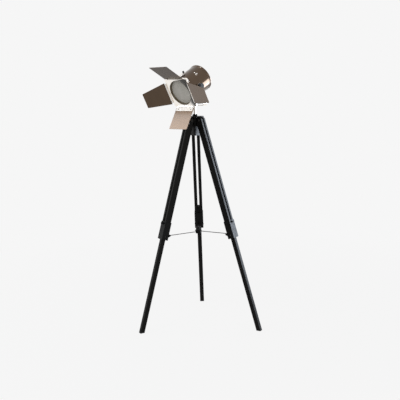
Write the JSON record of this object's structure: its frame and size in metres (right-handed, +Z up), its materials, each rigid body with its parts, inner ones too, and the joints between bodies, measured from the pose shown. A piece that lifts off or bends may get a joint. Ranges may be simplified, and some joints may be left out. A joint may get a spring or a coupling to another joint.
{
  "type": "tripod spotlight floor lamp",
  "caption": "Floor lamp on a folding wooden tripod, with a round spotlight head that turns and tilts in a yoke and has hinged barn doors.",
  "frame": {"origin": "middle of the bounding box's floor face, under the lamp; the tripod's own axis stands 59.6 mm towards -Y of it", "axes": "+Z up from the floor; +Y towards the rear leg; -Y is the side the picture is taken from, and +X is its right"},
  "size_m": [0.6672, 0.6392, 1.4204],
  "materials": {
    "black_wood": "satin black lacquer, fine grain showing",
    "black_metal": "satin black enamel",
    "bolt_steel": "blackened steel, oiled",
    "black_plastic": "moulded black plastic",
    "foot_rubber": "matt black rubber",
    "nickel": "polished nickel plate",
    "bronze": "antique bronze plate, polished",
    "reflector_aluminium": "bright spun aluminium",
    "holder_ceramic": "glazed cream porcelain",
    "frosted_glass": "frosted inside, smooth outside",
    "bulb_glass": "opal white"
  },
  "bodies": {
    "tripod_head": {"top_plate": "black_metal", "hub_block": "black_metal", "stem": "nickel", "stem_collar": "black_metal", "stem_nut": "nickel", "pivot_bolts": "bolt_steel"},
    "left_leg": {"left_rail_front": "black_wood", "left_rail_back": "black_wood", "left_bracket": "black_metal", "left_fasteners": "bolt_steel"},
    "left_extension": {"left_lower_leg": "black_wood", "left_foot_pad": "foot_rubber"},
    "left_clamp": {"left_clamp_screw": "black_plastic"},
    "left_arm": {"left_spreader_arm": "black_metal"},
    "right_leg": {"right_rail_front": "black_wood", "right_rail_back": "black_wood", "right_bracket": "black_metal", "right_fasteners": "bolt_steel"},
    "right_extension": {"right_lower_leg": "black_wood", "right_foot_pad": "foot_rubber"},
    "right_clamp": {"right_clamp_screw": "black_plastic"},
    "right_arm": {"right_spreader_arm": "black_metal"},
    "rear_leg": {"rear_rail_left": "black_wood", "rear_rail_right": "black_wood", "rear_bracket": "black_metal", "rear_fasteners": "bolt_steel"},
    "rear_extension": {"rear_lower_leg": "black_wood", "rear_foot_pad": "foot_rubber"},
    "rear_clamp": {"rear_clamp_screw": "black_plastic"},
    "rear_arm": {"rear_spreader_arm": "black_metal"},
    "spreader_puck": {"spreader_hub": "black_metal"},
    "spreader_nut": {"spreader_knob": "black_plastic"},
    "yoke_body": {"yoke": "nickel"},
    "near_knob": {"near_tilt_knob": "black_plastic"},
    "far_knob": {"far_tilt_knob": "black_plastic"},
    "lamp_head": {"barrel": "bronze", "rear_cap": "bronze", "head_screws": "nickel", "cable_gland": "black_plastic", "reflector": "reflector_aluminium", "lamp_holder": "holder_ceramic", "holder_bracket": "bolt_steel", "switch_bush": "nickel", "bulb": "bulb_glass", "lens": "frosted_glass", "lens_bezel": "bronze", "front_frame": "nickel", "frame_straps": "nickel", "strap_screws": "black_plastic", "hinge_leaves": "nickel", "hinge_pins": "bolt_steel"},
    "switch_toggle": {"switch_lever": "nickel"},
    "top_barn_door": {"top_door": "bronze", "door_leaf_top": "nickel"},
    "right_barn_door": {"right_door": "bronze", "door_leaf_right": "nickel"},
    "bottom_barn_door": {"bottom_door": "bronze", "door_leaf_bottom": "nickel"},
    "left_barn_door": {"left_door": "bronze", "door_leaf_left": "nickel"}
  },
  "joints": [
    {"name": "pan", "type": "hinge", "parent": "tripod_head", "child": "yoke_body", "pos_m": [0, -0.0596, 1.205], "axis": [0, 0, 1], "range_deg": [-170, 170]},
    {"name": "tilt", "type": "hinge", "parent": "yoke_body", "child": "lamp_head", "pos_m": [-0.02623, -0.0871, 1.3095], "axis": [-0.7236, 0.6903, 0], "range_deg": [-9, 40]},
    {"name": "near_knob_turn", "type": "hinge", "parent": "yoke_body", "child": "near_knob", "pos_m": [0.03889, -0.14922, 1.3095], "axis": [0.7236, -0.6903, 0], "continuous": true},
    {"name": "far_knob_turn", "type": "hinge", "parent": "yoke_body", "child": "far_knob", "pos_m": [-0.09135, -0.02497, 1.3095], "axis": [-0.7236, 0.6903, 0], "continuous": true},
    {"name": "switch_flip", "type": "hinge", "parent": "lamp_head", "child": "switch_toggle", "pos_m": [0.01433, -0.11885, 1.3688], "axis": [0.7312, -0.2508, -0.6344], "range_deg": [0, 28]},
    {"name": "top_door_swing", "type": "hinge", "parent": "lamp_head", "child": "top_barn_door", "pos_m": [-0.09893, -0.1633, 1.3477], "axis": [0.7236, -0.6903, 0], "range_deg": [-44, 129]},
    {"name": "right_door_swing", "type": "hinge", "parent": "lamp_head", "child": "right_barn_door", "pos_m": [-0.01405, -0.19291, 1.27477], "axis": [0.3134, 0.3285, -0.891], "range_deg": [-31, 166]},
    {"name": "bottom_door_swing", "type": "hinge", "parent": "lamp_head", "child": "bottom_barn_door", "pos_m": [-0.04763, -0.10953, 1.20184], "axis": [0.7236, -0.6903, 0], "range_deg": [-104, 15]},
    {"name": "left_door_swing", "type": "hinge", "parent": "lamp_head", "child": "left_barn_door", "pos_m": [-0.1325, -0.07992, 1.27477], "axis": [0.3134, 0.3285, -0.891], "range_deg": [-140, 57]},
    {"name": "left_leg_fold", "type": "hinge", "parent": "tripod_head", "child": "left_leg", "pos_m": [-0.03031, -0.0771, 1.128], "axis": [0.5, -0.866, 0], "range_deg": [0, 14]},
    {"name": "left_leg_slide", "type": "slide", "parent": "left_leg", "child": "left_extension", "axis": [-0.2445, -0.1412, -0.9593], "range_m": [-0.38, 0.06]},
    {"name": "left_clamp_turn", "type": "hinge", "parent": "left_leg", "child": "left_clamp", "pos_m": [-0.1863, -0.16716, 0.58684], "axis": [-0.8308, -0.4797, 0.2823], "continuous": true},
    {"name": "left_arm_fold", "type": "hinge", "parent": "left_leg", "child": "left_arm", "pos_m": [-0.15675, -0.1501, 0.514], "axis": [0.5, -0.866, 0], "range_deg": [-8, 0]},
    {"name": "right_leg_fold", "type": "hinge", "parent": "tripod_head", "child": "right_leg", "pos_m": [0.03031, -0.0771, 1.128], "axis": [0.5, 0.866, 0], "range_deg": [0, 14]},
    {"name": "right_leg_slide", "type": "slide", "parent": "right_leg", "child": "right_extension", "axis": [0.2445, -0.1412, -0.9593], "range_m": [-0.38, 0.06]},
    {"name": "right_clamp_turn", "type": "hinge", "parent": "right_leg", "child": "right_clamp", "pos_m": [0.1863, -0.16716, 0.58684], "axis": [0.8308, -0.4797, 0.2823], "continuous": true},
    {"name": "right_arm_fold", "type": "hinge", "parent": "right_leg", "child": "right_arm", "pos_m": [0.15675, -0.1501, 0.514], "axis": [0.5, 0.866, 0], "range_deg": [-8, 0]},
    {"name": "rear_leg_fold", "type": "hinge", "parent": "tripod_head", "child": "rear_leg", "pos_m": [0, -0.0246, 1.128], "axis": [-1, 0, 0], "range_deg": [0, 14]},
    {"name": "rear_leg_slide", "type": "slide", "parent": "rear_leg", "child": "rear_extension", "axis": [0, 0.2824, -0.9593], "range_m": [-0.38, 0.06]},
    {"name": "rear_clamp_turn", "type": "hinge", "parent": "rear_leg", "child": "rear_clamp", "pos_m": [0, 0.15553, 0.58684], "axis": [0, 0.9593, 0.2824], "continuous": true},
    {"name": "rear_arm_fold", "type": "hinge", "parent": "rear_leg", "child": "rear_arm", "pos_m": [0, 0.1214, 0.514], "axis": [-1, 0, 0], "range_deg": [-8, 0]},
    {"name": "spreader_slide", "type": "slide", "parent": "tripod_head", "child": "spreader_puck", "axis": [0, 0, 1], "range_m": [-0.015, 0]},
    {"name": "spreader_knob_turn", "type": "hinge", "parent": "spreader_puck", "child": "spreader_nut", "pos_m": [0, -0.0596, 0.526], "axis": [0, 0, 1], "continuous": true}
  ],
  "couplings": [
    {"joint": "left_arm_fold", "follows": "left_leg_fold", "ratio": -0.5},
    {"joint": "right_leg_fold", "follows": "left_leg_fold", "ratio": 1},
    {"joint": "right_arm_fold", "follows": "left_leg_fold", "ratio": -0.5},
    {"joint": "rear_leg_fold", "follows": "left_leg_fold", "ratio": 1},
    {"joint": "rear_arm_fold", "follows": "left_leg_fold", "ratio": -0.5},
    {"joint": "spreader_slide", "follows": "left_leg_fold", "m_per_rad": -0.0558}
  ]
}
